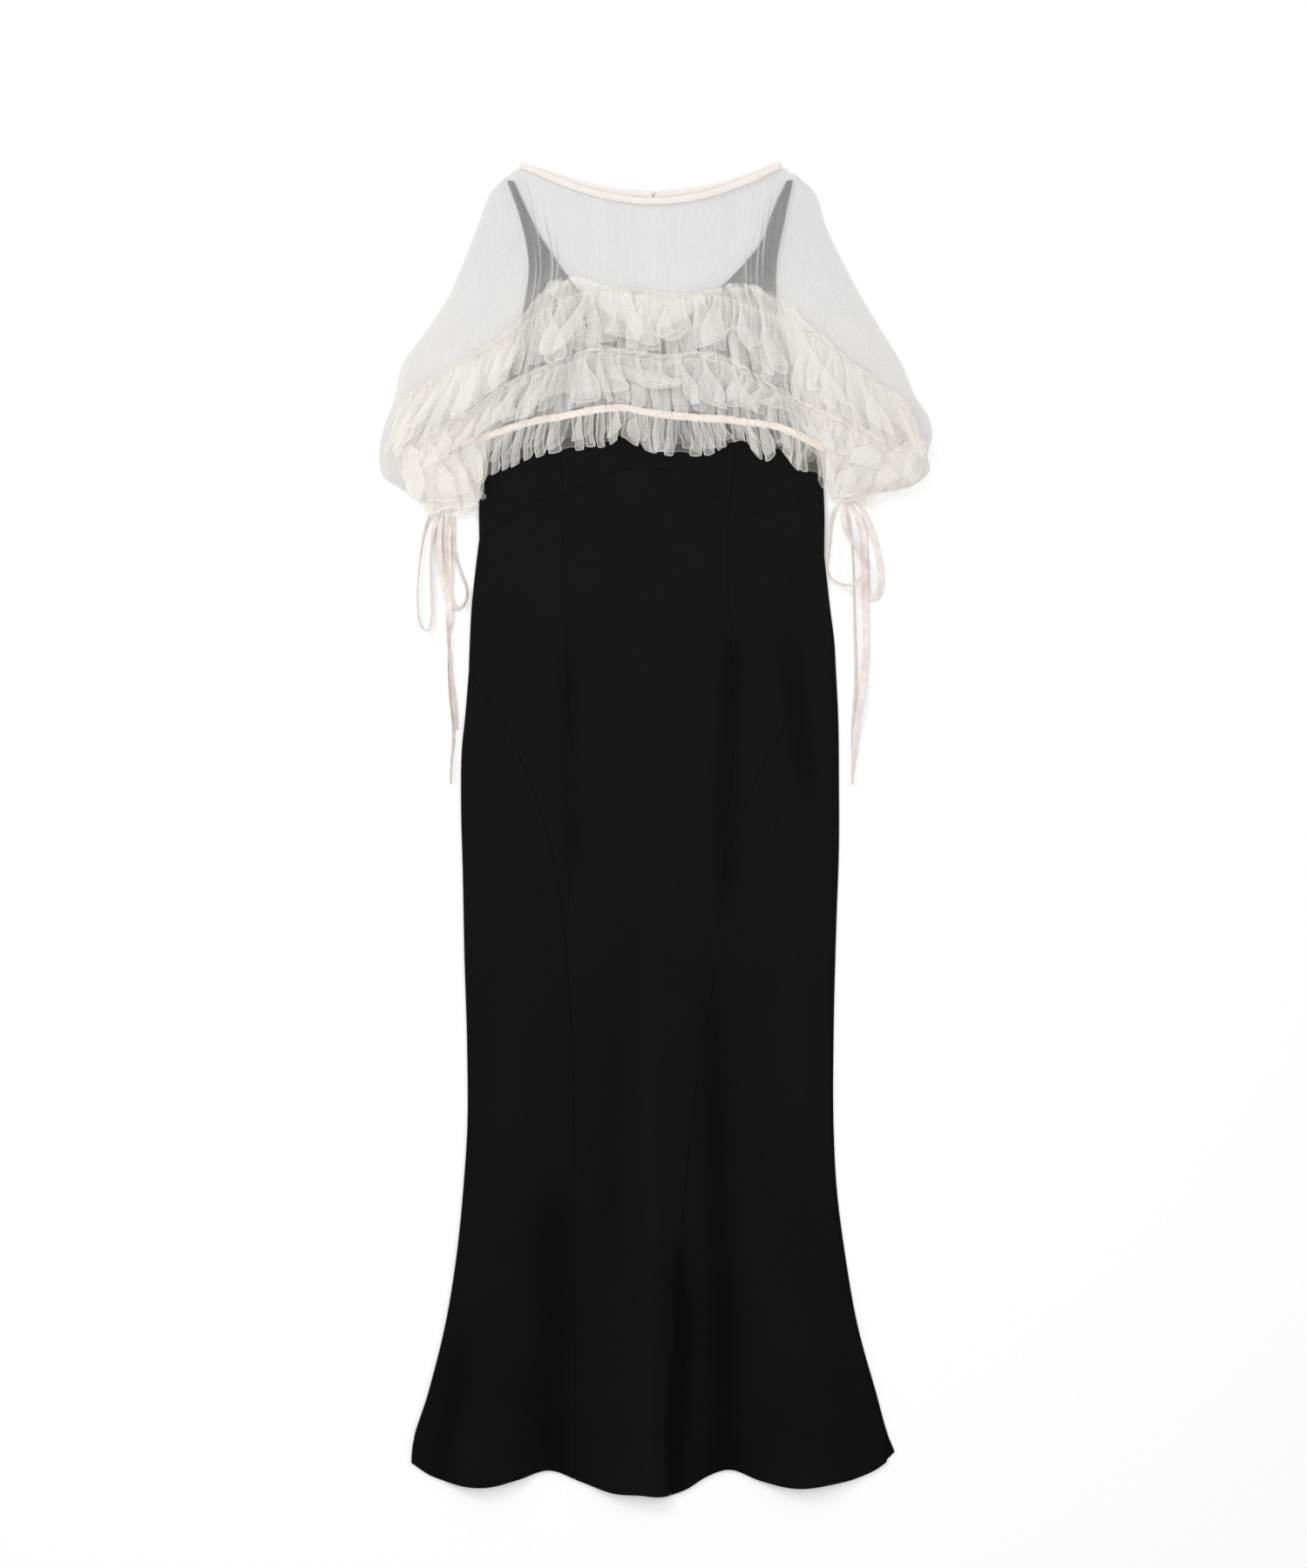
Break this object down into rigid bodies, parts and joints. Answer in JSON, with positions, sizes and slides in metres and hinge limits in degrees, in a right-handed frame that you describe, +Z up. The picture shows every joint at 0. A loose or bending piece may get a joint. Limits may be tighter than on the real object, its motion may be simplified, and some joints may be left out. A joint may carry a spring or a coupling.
{
  "type": "tulle dress",
  "caption": "Long black sheath dress laid flat under a sheer gathered tulle top with wide sleeves, ruffle tiers and ribbon ties at the cuffs",
  "frame": {"origin": "middle of the laid-out dress without its ribbons, on the surface it lies on", "axes": "+Y towards the neck, +X to the right as seen from above with the front up, +Z up from the surface"},
  "size_m": [0.6312, 1.5304, 0.0453],
  "materials": {
    "black_crepe": "matte black crepe",
    "ivory_tulle": "sheer ivory tulle, an even fine net left uncut",
    "ruffle_tulle": "sheer ivory tulle gathered in ruffles",
    "peach_tape": "pale peach tape",
    "neck_binding": "pale pink binding",
    "tie_ribbon": "soft satin ribbon, pinkish beige",
    "hook_metal": "small dull hook"
  },
  "bodies": {
    "root": {"skirt_front_centre": "black_crepe", "skirt_hip_left": "black_crepe", "skirt_hip_right": "black_crepe", "skirt_flare_left": "black_crepe", "skirt_flare_right": "black_crepe", "skirt_back_left": "black_crepe", "skirt_back_right": "black_crepe", "bodice_front_centre": "black_crepe", "bodice_front_left": "black_crepe", "bodice_front_right": "black_crepe", "bodice_back_left": "black_crepe", "bodice_back_right": "black_crepe", "tulle_front": "ivory_tulle", "tulle_back_left": "ivory_tulle", "tulle_back_right": "ivory_tulle", "sleeve_left_upper": "ivory_tulle", "sleeve_left_under": "ivory_tulle", "sleeve_right_upper": "ivory_tulle", "sleeve_right_under": "ivory_tulle", "ruffle_top": "ruffle_tulle", "ruffle_middle": "ruffle_tulle", "ruffle_hem": "ruffle_tulle", "cuff_frill_left": "ruffle_tulle", "cuff_frill_right": "ruffle_tulle", "hem_tape": "peach_tape", "neck_binding_front": "neck_binding", "neck_binding_back_left": "neck_binding", "neck_binding_back_right": "neck_binding", "neck_hook": "hook_metal", "tie_left_knot": "tie_ribbon", "tie_left_loop_outer": "tie_ribbon", "tie_left_loop_inner": "tie_ribbon", "tie_left_tail_short": "tie_ribbon", "tie_left_tail_long": "tie_ribbon", "tie_right_knot": "tie_ribbon", "tie_right_loop_outer": "tie_ribbon", "tie_right_loop_inner": "tie_ribbon", "tie_right_tail_short": "tie_ribbon", "tie_right_tail_long": "tie_ribbon"}
  },
  "joints": []
}
